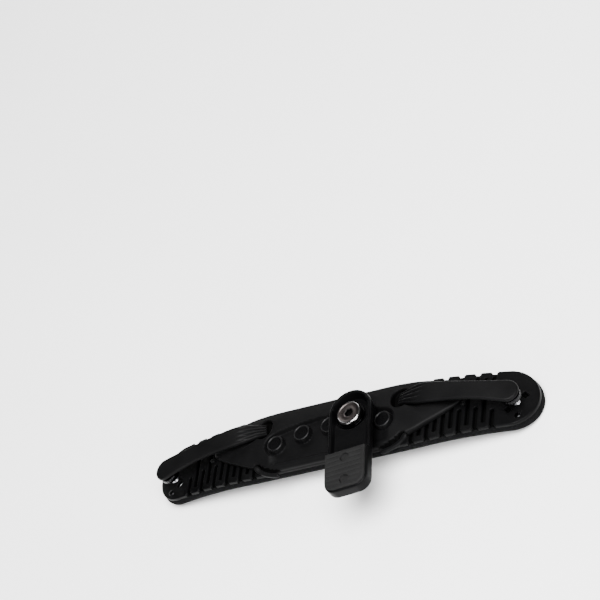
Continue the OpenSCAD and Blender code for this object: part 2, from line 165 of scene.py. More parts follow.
def field_solid(name, xs, lo, hi, top, bottom, mat, near, n, wall=3, sharp=40.0, place=None, bulge=0.0, origin=None):
    """A solid over a plan between y = lo(x) and y = hi(x), with top(x, y, d) and bottom(x, y, d), where d is the
    distance to the plan's outline. Its walls are drawn between the two."""
    xs = np.asarray(xs, float)
    ylo, yhi = lo(xs), hi(xs)
    rows_ = []
    for x, a, b in zip(xs, ylo, yhi):
        c = edge_columns(max(b - a, 0.0), near, n)
        rows_.append(np.stack([np.full(len(c), x), a + c], 1))
    plan = np.array(rows_)
    nx, ny = plan.shape[:2]
    outline = [plan[:, 0]]
    if yhi[-1] - ylo[-1] > 1e-6:
        outline.append(plan[-1, :])
    outline.append(plan[::-1, -1])
    if yhi[0] - ylo[0] > 1e-6:
        outline.append(plan[0, ::-1])
    outline = np.concatenate(outline)
    flat = plan.reshape(-1, 2)
    d = distance_to(outline, flat)
    zt, zb = top(flat[:, 0], flat[:, 1], d), bottom(flat[:, 0], flat[:, 1], d)
    pts = [np.column_stack([flat, zt]), np.column_stack([flat, zb])]
    faces = []
    idx = np.arange(nx * ny).reshape(nx, ny)
    base = nx * ny
    a, b, c, e = idx[:-1, :-1].ravel(), idx[1:, :-1].ravel(), idx[1:, 1:].ravel(), idx[:-1, 1:].ravel()
    faces += list(zip(a, b, c, e))
    faces += list(zip(e + base, c + base, b + base, a + base))
    ring = list(idx[:, 0]) + list(idx[-1, 1:]) + list(idx[-2::-1, -1]) + list(idx[0, -2:0:-1])
    ring = np.array(ring)
    count = 2 * base
    prev = ring
    rp = flat[ring]
    centre_line = np.column_stack([np.clip(rp[:, 0], xs[0] + 0.0, xs[-1]), rp[:, 1] * 0])
    # outward normals of the ring, in plan
    nxt, prv = np.roll(rp, -1, 0), np.roll(rp, 1, 0)
    tang = nxt - prv
    ln = np.linalg.norm(tang, axis=1)
    ln[ln < 1e-9] = 1
    normal = np.column_stack([tang[:, 1], -tang[:, 0]]) / ln[:, None]
    mid = flat.mean(0)
    if np.mean(np.sum(normal * (rp - mid), 1)) < 0:
        normal = -normal
    for k in range(1, wall + 1):
        t = k / (wall + 1)
        z = zt[ring] * (1 - t) + zb[ring] * t
        out = bulge * math.sin(math.pi * t)
        pts.append(np.column_stack([rp + normal * out, z]))
        cur = np.arange(count, count + len(ring))
        count += len(ring)
        faces += list(zip(prev, np.roll(prev, -1), np.roll(cur, -1), cur))
        prev = cur
    faces += list(zip(prev, np.roll(prev, -1), np.roll(ring, -1) + base, ring + base))
    pts = np.concatenate(pts)
    if place is not None:
        pts = place(pts)
    return new_mesh(name, pts, faces, mat, sharp, origin)


def lathe(name, profile, centre, mat, n=96, radius=None, sharp=35.0, sides=None):
    """A turned piece about the vertical through centre (x, y). profile is a closed loop of (r, z) in mm."""
    prof = np.array(profile, float)
    ang = np.arange(n) * 2 * math.pi / n
    pts = []
    for r, z in prof:
        rr = np.full(n, r) if radius is None else radius(r, z, ang)
        pts.append(np.column_stack([centre[0] + rr * np.cos(ang), centre[1] + rr * np.sin(ang), np.full(n, z)]))
    pts = np.concatenate(pts)
    m = len(prof)
    closed = abs(prof[0][0]) > 1e-9 or abs(prof[-1][0]) > 1e-9
    faces = []
    for i in range(m if closed else m - 1):
        j = (i + 1) % m
        a = np.arange(n) + i * n
        b = np.arange(n) + j * n
        faces += list(zip(a, np.roll(a, -1), np.roll(b, -1), b))
    return new_mesh(name, pts, faces, mat, sharp, origin=(centre[0], centre[1], float(prof[:, 1].min())))


def rounded(profile, r, n=4):
    """Rounds the corners of a closed or open (r, z) profile."""
    p = [np.array(q, float) for q in profile]
    out = []
    for i, b in enumerate(p):
        a, c = p[i - 1], p[(i + 1) % len(p)]
        if (i == 0 or i == len(p) - 1) and b[0] < 1e-9:
            out.append(b)
            continue
        u, v = a - b, c - b
        lu, lv = np.linalg.norm(u), np.linalg.norm(v)
        if lu < 1e-9 or lv < 1e-9:
            out.append(b)
            continue
        rr = min(r, lu * 0.45, lv * 0.45)
        s, e = b + u / lu * rr, b + v / lv * rr
        for k in range(n + 1):
            t = k / n
            out.append((1 - t) ** 2 * s + 2 * t * (1 - t) * b + t * t * e)
    return np.array(out)


def mirror_x(points):
    q = np.array(points, float).copy()
    q[:, 0] = -q[:, 0]
    return q


# ---------------------------------------------------------------- materials
def material(name):
    m = bpy.data.materials.new(name)
    m.use_nodes = True
    nt = m.node_tree
    b = nt.nodes["Principled BSDF"]
    return m, nt, b


def coords(nt, scale=(1, 1, 1)):
    tc = nt.nodes.new("ShaderNodeTexCoord")
    mp = nt.nodes.new("ShaderNodeMapping")
    mp.inputs["Scale"].default_value = scale
    nt.links.new(tc.outputs["Object"], mp.inputs["Vector"])
    return mp.outputs["Vector"]


def noise(nt, vec, scale, detail=4.0, rough=0.55):
    n = nt.nodes.new("ShaderNodeTexNoise")
    n.inputs["Scale"].default_value = scale
    n.inputs["Detail"].default_value = detail
    n.inputs["Roughness"].default_value = rough
    nt.links.new(vec, n.inputs["Vector"])
    return n


def ramp(nt, fac, stops):
    r = nt.nodes.new("ShaderNodeValToRGB")
    e = r.color_ramp.elements
    e[0].position, e[0].color = stops[0][0], (*stops[0][1], 1)
    e[1].position, e[1].color = stops[-1][0], (*stops[-1][1], 1)
    for pos, col in stops[1:-1]:
        x = e.new(pos)
        x.color = (*col, 1)
    nt.links.new(fac, r.inputs["Fac"])
    return r.outputs["Color"]


def span(nt, fac, lo, hi, a=0.3, b=0.7):
    m = nt.nodes.new("ShaderNodeMapRange")
    m.inputs["From Min"].default_value = a
    m.inputs["From Max"].default_value = b
    m.inputs["To Min"].default_value = lo
    m.inputs["To Max"].default_value = hi
    nt.links.new(fac, m.inputs["Value"])
    return m.outputs["Result"]


def bump(nt, height, strength, distance, normal=None):
    b = nt.nodes.new("ShaderNodeBump")
    b.inputs["Strength"].default_value = strength
    b.inputs["Distance"].default_value = distance
    nt.links.new(height, b.inputs["Height"])
    if normal is not None:
        nt.links.new(normal, b.inputs["Normal"])
    return b.outputs["Normal"]


def plastic(name, dark, light, rough_lo, rough_hi, grain=3200.0, grain_strength=0.12, shine=0.12):
    m, nt, b = material(name)
    v = coords(nt)
    wear = noise(nt, v, 60, 5)
    fine = noise(nt, v, grain, 3)
    nt.links.new(ramp(nt, wear.outputs["Fac"], [(0.3, dark), (0.7, light)]), b.inputs["Base Color"])
    nt.links.new(span(nt, wear.outputs["Fac"], rough_lo, rough_hi), b.inputs["Roughness"])
    nt.links.new(bump(nt, fine.outputs["Fac"], grain_strength, 0.00006), b.inputs["Normal"])
    b.inputs["IOR"].default_value = 1.5
    b.inputs["Specular IOR Level"].default_value = shine
    return m


def metal(name, tint, rough_lo, rough_hi, turned=0.0, ring_scale=900.0):
    m, nt, b = material(name)
    v = coords(nt)
    n = noise(nt, v, 260, 5)
    nt.links.new(ramp(nt, n.outputs["Fac"], [(0.25, tuple(c * 0.9 for c in tint)), (0.75, tint)]), b.inputs["Base Color"])
    nt.links.new(span(nt, n.outputs["Fac"], rough_lo, rough_hi), b.inputs["Roughness"])
    b.inputs["Metallic"].default_value = 1.0
    if turned > 0:
        w = nt.nodes.new("ShaderNodeTexWave")
        w.wave_type = "RINGS"
        w.rings_direction = "Z"
        w.inputs["Scale"].default_value = ring_scale
        w.inputs["Distortion"].default_value = 0.6
        nt.links.new(v, w.inputs["Vector"])
        nt.links.new(bump(nt, w.outputs["Fac"], turned, 0.00002), b.inputs["Normal"])
    else:
        nt.links.new(bump(nt, n.outputs["Fac"], 0.03, 0.00002), b.inputs["Normal"])
    return m


def foam_material(name):
    m, nt, b = material(name)
    v = coords(nt)
    cells = nt.nodes.new("ShaderNodeTexVoronoi")
    cells.inputs["Scale"].default_value = 1500
    nt.links.new(v, cells.inputs["Vector"])
    cells2 = nt.nodes.new("ShaderNodeTexVoronoi")
    cells2.inputs["Scale"].default_value = 620
    nt.links.new(v, cells2.inputs["Vector"])
    big = noise(nt, v, 120, 5)
    nt.links.new(ramp(nt, cells.outputs["Distance"], [(0.0, (0.0006, 0.0006, 0.0006)), (0.45, (0.0021, 0.0021, 0.0022)), (0.9, (0.0048, 0.0048, 0.0049))]),
                 b.inputs["Base Color"])
    nt.links.new(span(nt, big.outputs["Fac"], 0.78, 0.96), b.inputs["Roughness"])
    n1 = bump(nt, cells2.outputs["Distance"], 0.35, 0.00022)
    nt.links.new(bump(nt, cells.outputs["Distance"], 0.8, 0.00014, n1), b.inputs["Normal"])
    b.inputs["IOR"].default_value = 1.4
    b.inputs["Specular IOR Level"].default_value = 0.04
    return m


def rubber_material(name):
    m, nt, b = material(name)
    v = coords(nt)
    n = noise(nt, v, 1400, 4)
    big = noise(nt, v, 90, 4)
    nt.links.new(ramp(nt, big.outputs["Fac"], [(0.3, (0.0035, 0.0035, 0.0035)), (0.7, (0.006, 0.006, 0.006))]), b.inputs["Base Color"])
    nt.links.new(span(nt, big.outputs["Fac"], 0.62, 0.8), b.inputs["Roughness"])
    nt.links.new(bump(nt, n.outputs["Fac"], 0.35, 0.0001), b.inputs["Normal"])
    b.inputs["Specular IOR Level"].default_value = 0.1
    return m


M_CARRIER = plastic("carrier_plastic", (0.0018, 0.0018, 0.0019), (0.0028, 0.0028, 0.0029), 0.38, 0.48, shine=0.034)
M_PLATE = plastic("plate_plastic", (0.0011, 0.0011, 0.0012), (0.0018, 0.0018, 0.0019), 0.38, 0.48, shine=0.034)
M_BAND = plastic("band_plastic", (0.0020, 0.0020, 0.0021), (0.0031, 0.0031, 0.0032), 0.38, 0.46, 2600.0, 0.08, shine=0.034)
M_BRACKET = plastic("bracket_plastic", (0.0008, 0.0008, 0.0009), (0.0014, 0.0014, 0.0015), 0.32, 0.42, 3000.0, 0.10, shine=0.036)
# painted shade: near-black plastic for the floors of the band's socket and the clip slot, so these recesses read as
# shaded
M_RECESS_SHADE = plastic("painted_recess_shade", (0.0003, 0.0003, 0.0003), (0.0006, 0.0006, 0.0006), 0.6, 0.75, 2600.0, 0.08, shine=0.02)
# painted shade: near-black film on the pad's top under the plate, so the slots and windows read as dark
M_SLOT_SHADE = plastic("painted_slot_shade", (0.0003, 0.0003, 0.0003), (0.0006, 0.0006, 0.0006), 0.6, 0.8, 2200.0, 0.2, shine=0.02)
M_FOAM = foam_material("pad_foam")
M_LINER = rubber_material("liner_rubber")
M_CHROME = metal("polished_steel", (0.20, 0.195, 0.195), 0.12, 0.18, 0.05, 1600.0)
# dark turned steel for the screw's flat dish; its warm cast is a painted reflection of a red-brown body, while the
# turned rings are real
M_DISH_WARM_REFLECTION = metal("turned_steel_warm_reflection", (0.062, 0.054, 0.052), 0.26, 0.36, 0.10, 1600.0)
M_NICKEL = metal("dark_nickel", (0.012, 0.012, 0.0125), 0.18, 0.27, 0.05, 1600.0)
# painted highlight: lighter, shinier plastic for the boss plugs' rims, so their crescent reads brighter
M_PLUG_RIM_HIGHLIGHT = plastic("plug_rim_painted_highlight", (0.0030, 0.0030, 0.0031), (0.0044, 0.0044, 0.0046), 0.26, 0.34, 2600.0, 0.06, shine=0.14)
# painted shade: near-black steel for the inside of the clamp screw's hex socket
M_SOCKET_SHADE = metal("socket_painted_shade", (0.008, 0.008, 0.008), 0.35, 0.5, 0.0)
M_STEEL = metal("plain_steel", (0.52, 0.52, 0.54), 0.26, 0.38, 0.12, 1200.0)
M_BRASS = metal("insert_brass", (0.72, 0.55, 0.26), 0.26, 0.36, 0.10, 1200.0)

for node, mat in {"thread_inserts": M_BRASS, "shell_screws": M_STEEL, "pivot_bush": M_STEEL, "clamp_washer": M_NICKEL,
                  "boss_plugs": M_CARRIER}.items():
    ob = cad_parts[node]
    ob.data.materials.clear()
    ob.data.materials.append(mat)


# ---------------------------------------------------------------- carrier shell
LEAF = spline([(20, -17), (27.5, -17), (32.6, -16.4), (37.5, -14.8), (41.8, -12.9), (46.2, -11.4), (51, -9.2), (56.3, -6.7),
               (61.4, -3.9), (65.3, -1.3), (67.6, 0.8), (68, 3), (66.5, 6.8), (63.9, 10), (60.2, 12.8), (56.8, 14.4),
               (52.9, 15.5), (47.2, 16.4), (41, 16.85), (34, 17), (20, 17), (0, 17)], 12)
tip_i = int(np.argmax(LEAF[:, 0]))
TIP = LEAF[tip_i]
low_line = np.vstack([[0, -17], [26, -17], LEAF[: tip_i + 1]])
low_line = low_line[np.argsort(low_line[:, 0], kind="stable")]
high_line = LEAF[tip_i:][::-1]
high_line = np.vstack([[0, 17], high_line])
high_line = high_line[np.argsort(high_line[:, 0], kind="stable")]


def leaf_lo(x):
    return np.interp(np.abs(x), low_line[:, 0], np.minimum(low_line[:, 1], 17))


def leaf_hi(x):
    return np.interp(np.abs(x), high_line[:, 0], high_line[:, 1])


def dome_z(x, y):
    ax = np.abs(x)
    return DOME_H - y * y / (2 * DOME_R) - np.maximum(ax - 27, 0) ** 2 / (2 * DOME_LONG)


def band_z(s):
    s = np.asarray(s, float)
    return BAND_TOP - (ROOT[0] + s * 0.984 - 62) ** 2 / 300 - np.where(s < 16.3, 2.4 * (np.maximum(16.3 - s, 0) / 16.3) ** 2, 0)


BAND_SIDE = spline([(-6, 2.9), (-2.2, 3), (3, 3.5), (7.5, 4.6), (13, 5.3), (25, 5), (39, 4.7), (48, 4.95), (BAND_L - 0.5, 5.45), (62, 5.5)], 12)


def band_w(s):
    return np.interp(s, BAND_SIDE[:, 0], BAND_SIDE[:, 1])


def to_band(x, y):
    c, s = math.cos(BAND_A), math.sin(BAND_A)
    dx, dy = x - ROOT[0], y - ROOT[1]
    return dx * c + dy * s, -dx * s + dy * c


def distance_plain(line, pts):
    best = np.full(len(pts), 1e9)
    for a, b in zip(line[:-1], line[1:]):
        d = b - a
        t = np.clip(((pts - a) @ d) / float(d @ d), 0, 1)
        best = np.minimum(best, np.linalg.norm(pts - a - t[:, None] * d, axis=1))
    return best


# middle of the clip bar's top, at the front of the carrier
CLIP = spline([(25, -18.9, 0.8), (27.8, -18.8, 0.8), (30.4, -18.45, 0.8), (33.3, -17.6, 0.8), (36.1, -16.5, 0.9), (38.7, -14.9, 1.2), (40.5, -13.2, 1.6), (41.3, -12.2, 1.7), (42, -11.3, 1.7)], 8)


def shell_top(x, y, d):
    ax = np.abs(x)
    z = dome_z(x, y)
    # rounded rim
    r = 1.15
    q = np.minimum(d, r)
    z = z - (r - np.sqrt(np.maximum(r * r - (r - q) ** 2, 0))) * 0.85
    base = z.copy()
    # trough, with soft sides and a round pocket about each end boss
    arc = BOSS_Y0 - BOSS_ARC + np.sqrt(np.maximum((BOSS_ARC + 6.2) ** 2 - ax * ax, 0))
    t = smooth((33.4 - ax) / 5.0) * smooth((y + 15.2) / 2.6) * smooth((arc + 0.4 - y) / 1.0)
    bx, by = BOSS_ARC * math.sin(2 * BOSS_STEP), BOSS_Y0 - BOSS_ARC * (1 - math.cos(2 * BOSS_STEP))
    t = np.maximum(t, smooth((POCKET_R + 0.3 - np.hypot(ax - bx, y - by)) / 0.7))
    z = z * (1 - t) + np.minimum(TROUGH_Z, base - 0.15) * t
    # bosses
    for i in range(-2, 3):
        bx, by = BOSS_ARC * math.sin(i * BOSS_STEP), BOSS_Y0 - BOSS_ARC * (1 - math.cos(i * BOSS_STEP))
        rr = np.hypot(x - bx, y - by)
        t = smooth((BOSS_R + 0.4 - rr) / 0.5)
        z = z * (1 - t) + BOSS_TOP * t
        t = smooth((2.6 - rr) / 0.25)
        z = z * (1 - t) + (BOSS_TOP - 2.6) * t
    # socket for the band's root
    ds = 4.6 - np.hypot(ax - 37.6, np.maximum(np.abs(y - ROOT[1]) - 1.0, 0))
    t = smooth((ds + 0.3) / 0.9)
    z = z * (1 - t) + 1.1 * t
    # ramp that the band leaves by
    s, v = to_band(ax, y)
    lim = band_w(np.clip(s, 0, 40)) + 0.7 - np.abs(v)
    floor = np.maximum(band_z(s) - BAND_T - 1.7, 1.1)
    t = smooth(lim / 0.6) * smooth((s + 0.0) / 1.0) * smooth((16.0 - s) / 1.0)
    z = np.where(t > 0, np.minimum(z, z * (1 - t) + floor * t), z)
    # slot between the flank and the clip bar
    near = distance_plain(CLIP[:-12, :2], np.column_stack([ax, y]))
    t = smooth((2.45 - near) / 0.6) * smooth((ax - 27.5) / 1.5)
    z = z * (1 - t) + np.minimum(z, 0.5) * t
    return z


def shell_bottom(x, y, d):
    return np.where(np.abs(x) > 33.2, plate_z(x) + 0.3, 0.02)


u = np.linspace(0, 1, 190)
xr = np.concatenate([np.linspace(0, 22, 52)[:-1], np.linspace(22, 50, 104)[:-1], 50 + (TIP[0] - 50) * np.sin(np.linspace(0, math.pi / 2, 60))])
xs = np.concatenate([-xr[::-1], xr[1:]])
shell = field_solid("carrier_body", xs, leaf_lo, leaf_hi, shell_top, shell_bottom, M_CARRIER,
                    [0, 0.12, 0.28, 0.5, 0.8, 1.2, 1.7], 92, wall=2, sharp=55)
shell.data.materials.append(M_RECESS_SHADE)
# faces on the floors of the clip slot and the band's socket get the near-black material: painted shade in those
# recesses
_c = np.array([p.center[:] for p in shell.data.polygons]) * 1000 - [0, Y_OFF, BASE_Z]
_under = dome_z(_c[:, 0], _c[:, 1]) - _c[:, 2]
_near = distance_plain(CLIP[:-12, :2], np.column_stack([np.abs(_c[:, 0]), _c[:, 1]]))
_sock = 4.6 - np.hypot(np.abs(_c[:, 0]) - 37.6, np.maximum(np.abs(_c[:, 1] - ROOT[1]) - 1.0, 0))
_painted_shade = ((_near < 2.6) & (np.abs(_c[:, 0]) > 27.0) & (_under > 0.6) & (_c[:, 2] > -0.2)) | ((_sock > -0.7) & (_under > 0.75))
shell.data.polygons.foreach_set("material_index", _painted_shade.astype(np.int32))
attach(shell, "carrier")
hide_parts("carrier_shell")


def clip_bar(name, sign):
    path = CLIP
    n, m = len(path), 24
    tang = np.gradient(path, axis=0)
    tang /= np.linalg.norm(tang, axis=1)[:, None]
    run = np.concatenate([[0], np.cumsum(np.linalg.norm(np.diff(path, axis=0), axis=1))])
    pts, faces = [], []
    for k in range(n):
        f = run[k] / run[-1]
        w = 1.12 + 0.3 * smooth((f - 0.72) / 0.2)
        ends = min(run[k], run[-1] - run[k])
        w *= math.sqrt(max(1 - max(1 - ends / 1.2, 0) ** 2, 0.02))
        side = np.array([tang[k][1], -tang[k][0], 0])
        side /= np.linalg.norm(side)
        top, low = path[k][2] + 0.4 * smooth((f - 0.72) / 0.2), -1.0
        for j in range(m):
            a = 2 * math.pi * j / m
            cx, cz = math.cos(a), math.sin(a)
            cx = math.copysign(abs(cx) ** 0.6, cx)
            cz = math.copysign(abs(cz) ** 0.6, cz)
            h = (top - low) / 2 * (0.35 + 0.65 * min(w, 1.0))
            pts.append(path[k] * [1, 1, 0] + side * cx * w + np.array([0, 0, (top + low) / 2 + cz * h]))
    for k in range(n - 1):
        a = np.arange(m) + k * m
        b = a + m
        faces += list(zip(a, np.roll(a, -1), np.roll(b, -1), b))
    faces.append(list(range(m)))
    faces.append(list(range((n - 1) * m, n * m)))
    pts = np.array(pts)
    return new_mesh(name, mirror_x(pts) if sign < 0 else pts, faces, M_BAND, sharp=60)


for side_name, sign in (("right", 1), ("left", -1)):
    clip = clip_bar(f"clip_bar_{side_name}", sign)
    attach(clip, "carrier")


# ---------------------------------------------------------------- slotted plate
def arc_pts(cx, cy, r, a0, a1, n):
    return [(cx + r * math.cos(math.radians(a0 + (a1 - a0) * k / n)), cy + r * math.sin(math.radians(a0 + (a1 - a0) * k / n))) for k in range(n + 1)]


def plate_outline():
    """Outer loop, counter-clockwise, with the edge slots cut in."""
    w = SLOT_W / 2 + 0.15
    side = []
    for i in range(6):
        x = SLOT_X0 + i * SLOT_PITCH
        web = WEB if i < 5 else WEB + 2.2
        h = float(half_w(x))
        fl = 0.75
        rr = w * 0.98
        pts = [(x - w - fl, -h), (x - w, -h + 1.0)]
        pts += [(x - w, -web - rr)]
        pts += arc_pts(x, -web - rr, w, 180, 0, 8)[1:-1]
        pts += [(x + w, -web - rr), (x + w, -h + 1.0), (x + w + fl, -h)]
        side += pts
    low = [(0.0, -HALF_WIDTH), (20, -HALF_WIDTH), (40, -HALF_WIDTH)] + side + [(END_X, -END_R)]
    end = arc_pts(END_X, 0, END_R, -90, 90, 64)[1:-1]
    up = [(x, -y) for x, y in reversed(low)]
    return low + end + up


def inner_slots():
    loops = []
    w = SLOT_W / 2 + 0.15
    for i in range(5):
        x = SLOT_X0 + i * SLOT_PITCH + SLOT_PITCH / 2
        h = float(half_w(x)) - SLOT_MARGIN - 0.6
        r = 0.5
        loop = arc_pts(x + w - r, h - r, r, 0, 90, 4) + arc_pts(x - w + r, h - r, r, 90, 180, 4)
        loop += arc_pts(x - w + r, -h + r, r, 180, 270, 4) + arc_pts(x + w - r, -h + r, r, 270, 360, 4)
        loops.append(loop)
    for s in (-1, 1):
        cx, cy = STUD[0] + s * 5.2 * math.cos(math.pi / 4), STUD[1] + s * 5.2 * math.sin(math.pi / 4)
        rect = [(1.25, 1.6), (-1.25, 1.6), (-1.25, -1.6), (1.25, -1.6)]
        c = math.cos(math.pi / 4)
        loops.append([(cx + c * (a - b), cy + c * (a + b)) for a, b in rect])
    return loops


def plate_mesh(name, sign):
    bev = 0.42
    cu = bpy.data.curves.new(name + "_c", "CURVE")
    cu.dimensions = "2D"
    cu.fill_mode = "BOTH"
    loops = [plate_outline()] + [list(reversed(l)) for l in inner_slots()]
    for loop in loops:
        sp = cu.splines.new("POLY")
        sp.points.add(len(loop) - 1)
        for k, (x, y) in enumerate(loop):
            sp.points[k].co = (x, y, 0, 1)
        sp.use_cyclic_u = True
    cu.extrude = PLATE_T / 2 - bev
    cu.bevel_depth = bev
    cu.bevel_resolution = 2
    cu.offset = -bev
    co = bpy.data.objects.new(name + "_c", cu)
    bpy.context.scene.collection.objects.link(co)
    bpy.context.view_layer.update()
    me = bpy.data.meshes.new_from_object(co.evaluated_get(bpy.context.evaluated_depsgraph_get()))
    bpy.data.objects.remove(co)
    bm = bmesh.new()
    bm.from_mesh(me)
    bmesh.ops.remove_doubles(bm, verts=bm.verts, dist=1e-4)
    # cuts across the plate, so that it can bend
    for x in np.arange(2.0, 104.0, 2.0):
        geom = bm.verts[:] + bm.edges[:] + bm.faces[:]
        bmesh.ops.bisect_plane(bm, geom=geom, dist=1e-4, plane_co=(x, 0, 0), plane_no=(1, 0, 0))
    for y in (-12, -8, -4, 0, 4, 8, 12):
        geom = bm.verts[:] + bm.edges[:] + bm.faces[:]
        bmesh.ops.bisect_plane(bm, geom=geom, dist=1e-4, plane_co=(0, y, 0), plane_no=(0, 1, 0))
    bm.verts.ensure_lookup_table()
    pts = np.array([v.co[:] for v in bm.verts])
    faces = [[v.index for v in f.verts] for f in bm.faces]
    bm.free()
    depth = PLATE_T / 2 - pts[:, 2]
    pts[:, 2] = plate_z(pts[:, 0]) - depth * 1.0
    pts[:, 0] = np.maximum(pts[:, 0], 0)
    if sign < 0:
        pts = mirror_x(pts)
    return new_mesh(name, pts, faces, M_PLATE, sharp=28)


for side_name, sign in (("right", 1), ("left", -1)):
    plate = plate_mesh(f"slotted_plate_{side_name}", sign)
    row([(sign * 40, 0, 0)])[0]
    row([(sign * 84, 0, 0)])[0]
    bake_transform(plate)
    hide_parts(f"wing_plate_{side_name}", "carrier_base")


# ---------------------------------------------------------------- foam pads
def pad_mesh(name, sign):
    r = 1.7

    def top(x, y, d):
        q = np.minimum(d, 0.35)
        return -(PLATE_T + 0.0) - (0.35 - np.sqrt(np.maximum(0.35**2 - (0.35 - q) ** 2, 0)))

    def bottom(x, y, d):
        q = np.minimum(d, r)
        z = -(PLATE_T + PAD_T) + (r - np.sqrt(np.maximum(r * r - (r - q) ** 2, 0)))
        crown = 0.35 * np.clip(d / 8.0, 0, 1) ** 0.7
        return z - crown + 0.25

    def place(p):
        x = p[:, 0]
        depth = -p[:, 2]
        z = plate_z(x, depth)
        z = np.where(np.abs(x) <= FLAT_X, -depth, z)
        q = p.copy()
        q[:, 2] = np.maximum(z, -BASE_Z)
        return mirror_x(q) if sign < 0 else q

    grow = 0.12
    xs = np.concatenate([np.linspace(0, END_X, 74)[:-1], END_X + (END_R + grow) * np.sin(np.linspace(0, math.pi / 2, 34))])

    def hi(x):
        straight = np.minimum(HALF_WIDTH, END_R + TAPER * (END_X - x)) + grow
        end = np.sqrt(np.maximum((END_R + grow) ** 2 - np.maximum(x - END_X, 0) ** 2, 0))
        return np.where(x > END_X, end, straight)

    # the inner end is a plain cut, so distance to it must not round the foam there
    def lo(x):
        return -hi(x)

    ob = field_solid(name, xs, lo, hi, top, bottom, M_FOAM, [0, 0.08, 0.2, 0.4, 0.7, 1.1, 1.7, 2.6], 22, wall=5, sharp=60, place=place, bulge=0.28)
    ob.data.materials.append(M_SLOT_SHADE)
    # the pad's upward faces under the plate get the near-black material: painted shade seen through the slots and
    # windows
    for poly in ob.data.polygons:
        x, y = abs(poly.center.x) * 1000, poly.center.y * 1000 - Y_OFF
        if poly.normal.z > 0.6 and abs(y) < float(half_w(x)) - 0.9 and x < END_X + END_R - 0.9:
            poly.material_index = 1
    return ob


# pads meet at the middle, so their inner ends are kept square
_orig_distance = distance_to


def distance_open(line, pts):
    keep = [(a, b) for a, b in zip(line[:-1], line[1:]) if not (abs(a[0]) < 1e-6 and abs(b[0]) < 1e-6)]
    best = np.full(len(pts), 1e9)
    for a, b in keep:
        d = b - a
        q = max(float(d @ d), 1e-12)
        t = np.clip(((pts - a) @ d) / q, 0, 1)
        best = np.minimum(best, np.linalg.norm(pts - a - t[:, None] * d, axis=1))
    return best


distance_to = distance_open
for side_name, sign in (("right", 1), ("left", -1)):
    pad = pad_mesh(f"foam_pad_{side_name}", sign)
    row([(sign * 40, 0, 0)])[0]
    row([(sign * 84, 0, 0)])[0]
    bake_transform(pad)
    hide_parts(f"wing_pad_{side_name}", "centre_pad")
distance_to = _orig_distance


# ---------------------------------------------------------------- tension bands
def band_mesh(name, sign):
    s_end = BAND_L + 5.5
    ss = np.concatenate([np.linspace(-1.4, 14, 66)[:-1], np.linspace(14, BAND_L - 0.5, 66)[:-1],
                         BAND_L - 0.5 + 6.0 * np.sin(np.linspace(0, math.pi / 2, 26))])

    def hi(s):
        end = np.sqrt(np.maximum(5.5**2 - np.maximum(s - BAND_L, 0) ** 2, 0))
        return np.where(s > BAND_L, end, band_w(s))

    def lo(s):
        return -hi(s)

    def top(s, v, d):
        w = np.maximum(hi(s), 0.3)
        r = 0.75
        q = np.minimum(d, r)
        z = band_z(s) + 0.0 - (r - np.sqrt(np.maximum(r * r - (r - q) ** 2, 0)))
        z = z - 0.22 * np.clip(np.abs(v) / w, 0, 1) ** 2
        # ribs that fan out of the root
        fade = smooth((15.5 - s) / 9.0) * smooth((d - 0.2) / 0.6)
        ribs = 0.5 + 0.5 * np.cos(np.clip(v / w, -1, 1) * math.pi * 4.2 + 0.4)
        z = z - 1.0 * fade * (1 - ribs) ** 1.9
        return np.maximum(z, 2.5)

    def bottom(s, v, d):
        r = 0.5
        q = np.minimum(d, r)
        return np.maximum(band_z(s) - BAND_T, 2.1) + (r - np.sqrt(np.maximum(r * r - (r - q) ** 2, 0)))

    def place(p):
        c, s = math.cos(BAND_A), math.sin(BAND_A)
        q = p.copy()
        q[:, 0] = ROOT[0] + p[:, 0] * c - p[:, 1] * s
        q[:, 1] = ROOT[1] + p[:, 0] * s + p[:, 1] * c
        return mirror_x(q) if sign < 0 else q

    return field_solid(name, ss, lo, hi, top, bottom, M_BAND, [0, 0.06, 0.15, 0.3, 0.5, 0.8, 1.2], 30, wall=2, sharp=50, place=place)


for side_name, sign in (("right", 1), ("left", -1)):
    band = band_mesh(f"strap_band_{side_name}", sign)
    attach(band, f"wing_{side_name}")
    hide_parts(f"tension_band_{side_name}")


# ---------------------------------------------------------------- studs, nuts, rivets, pins
stud_foot = float(plate_z(STUD[0])) - PLATE_T - 0.9
stud_top = float(band_z(BAND_L)) - 1.2
nut_top = float(band_z(BAND_L + 5.6)) - BAND_T - 0.3


def stud_profile():
    prof = [(0, stud_foot), (3.8, stud_foot), (4.0, stud_foot + 0.2), (4.0, stud_foot + 1.7), (3.9, stud_foot + 1.8), (1.7, stud_foot + 1.8)]
    z = stud_foot + 2.4
    while z < stud_top - 0.8:
        prof += [(1.66, z), (1.98, z + 0.26), (1.98, z + 0.36), (1.66, z + 0.62)]
        z += 0.7
    prof += [(1.66, stud_top - 0.3), (1.4, stud_top), (0, stud_top)]
    return prof


def nut_profile():
    z0, z1 = nut_top - NUT_T, nut_top
    prof = [(2.08, z0), (3.9, z0), (4.6, z0 + 0.12), (4.95, z0 + 0.45), (5.0, z0 + 0.8), (5.0, z1 - 0.8), (4.95, z1 - 0.45), (4.6, z1 - 0.12), (3.9, z1), (2.08, z1)]
    return prof


def scallop(r, z, ang):
    k = np.clip((r - 4.3) / 0.6, 0, 1)
    return r - 0.16 * k * np.abs(np.cos(ang * 12)) ** 4


